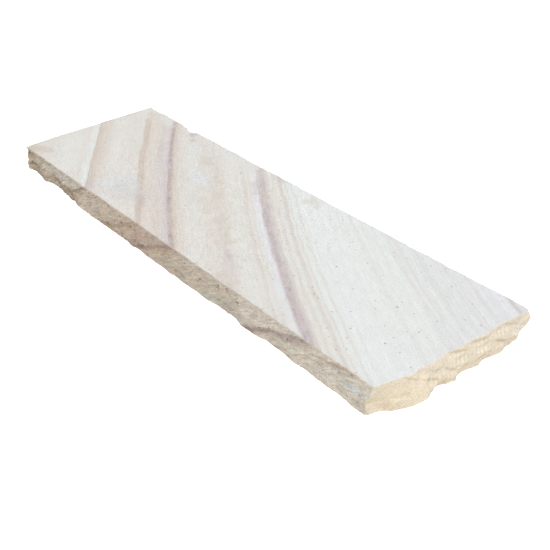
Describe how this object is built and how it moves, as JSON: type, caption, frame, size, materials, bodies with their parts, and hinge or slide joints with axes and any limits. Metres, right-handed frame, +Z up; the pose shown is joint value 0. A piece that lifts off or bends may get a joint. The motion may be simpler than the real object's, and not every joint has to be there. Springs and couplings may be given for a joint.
{
  "type": "sandstone garden edging",
  "caption": "Long flat strip of banded sandstone, sawn on its broad faces and split rough along its edges, laid to border a garden bed or path.",
  "frame": {"origin": "middle of the flat bed, at the bottom centre of the box around the stone", "axes": "+X along the strip, +Y from the front split edge to the back one, +Z up out of the sawn top face"},
  "size_m": [0.5695, 0.1565, 0.025],
  "materials": {
    "sandstone": "matte, sawn on the broad faces and split on the edges, with pink, tan and purple bedding bands"
  },
  "bodies": {
    "root": {"edging_stone": "sandstone"}
  },
  "joints": []
}
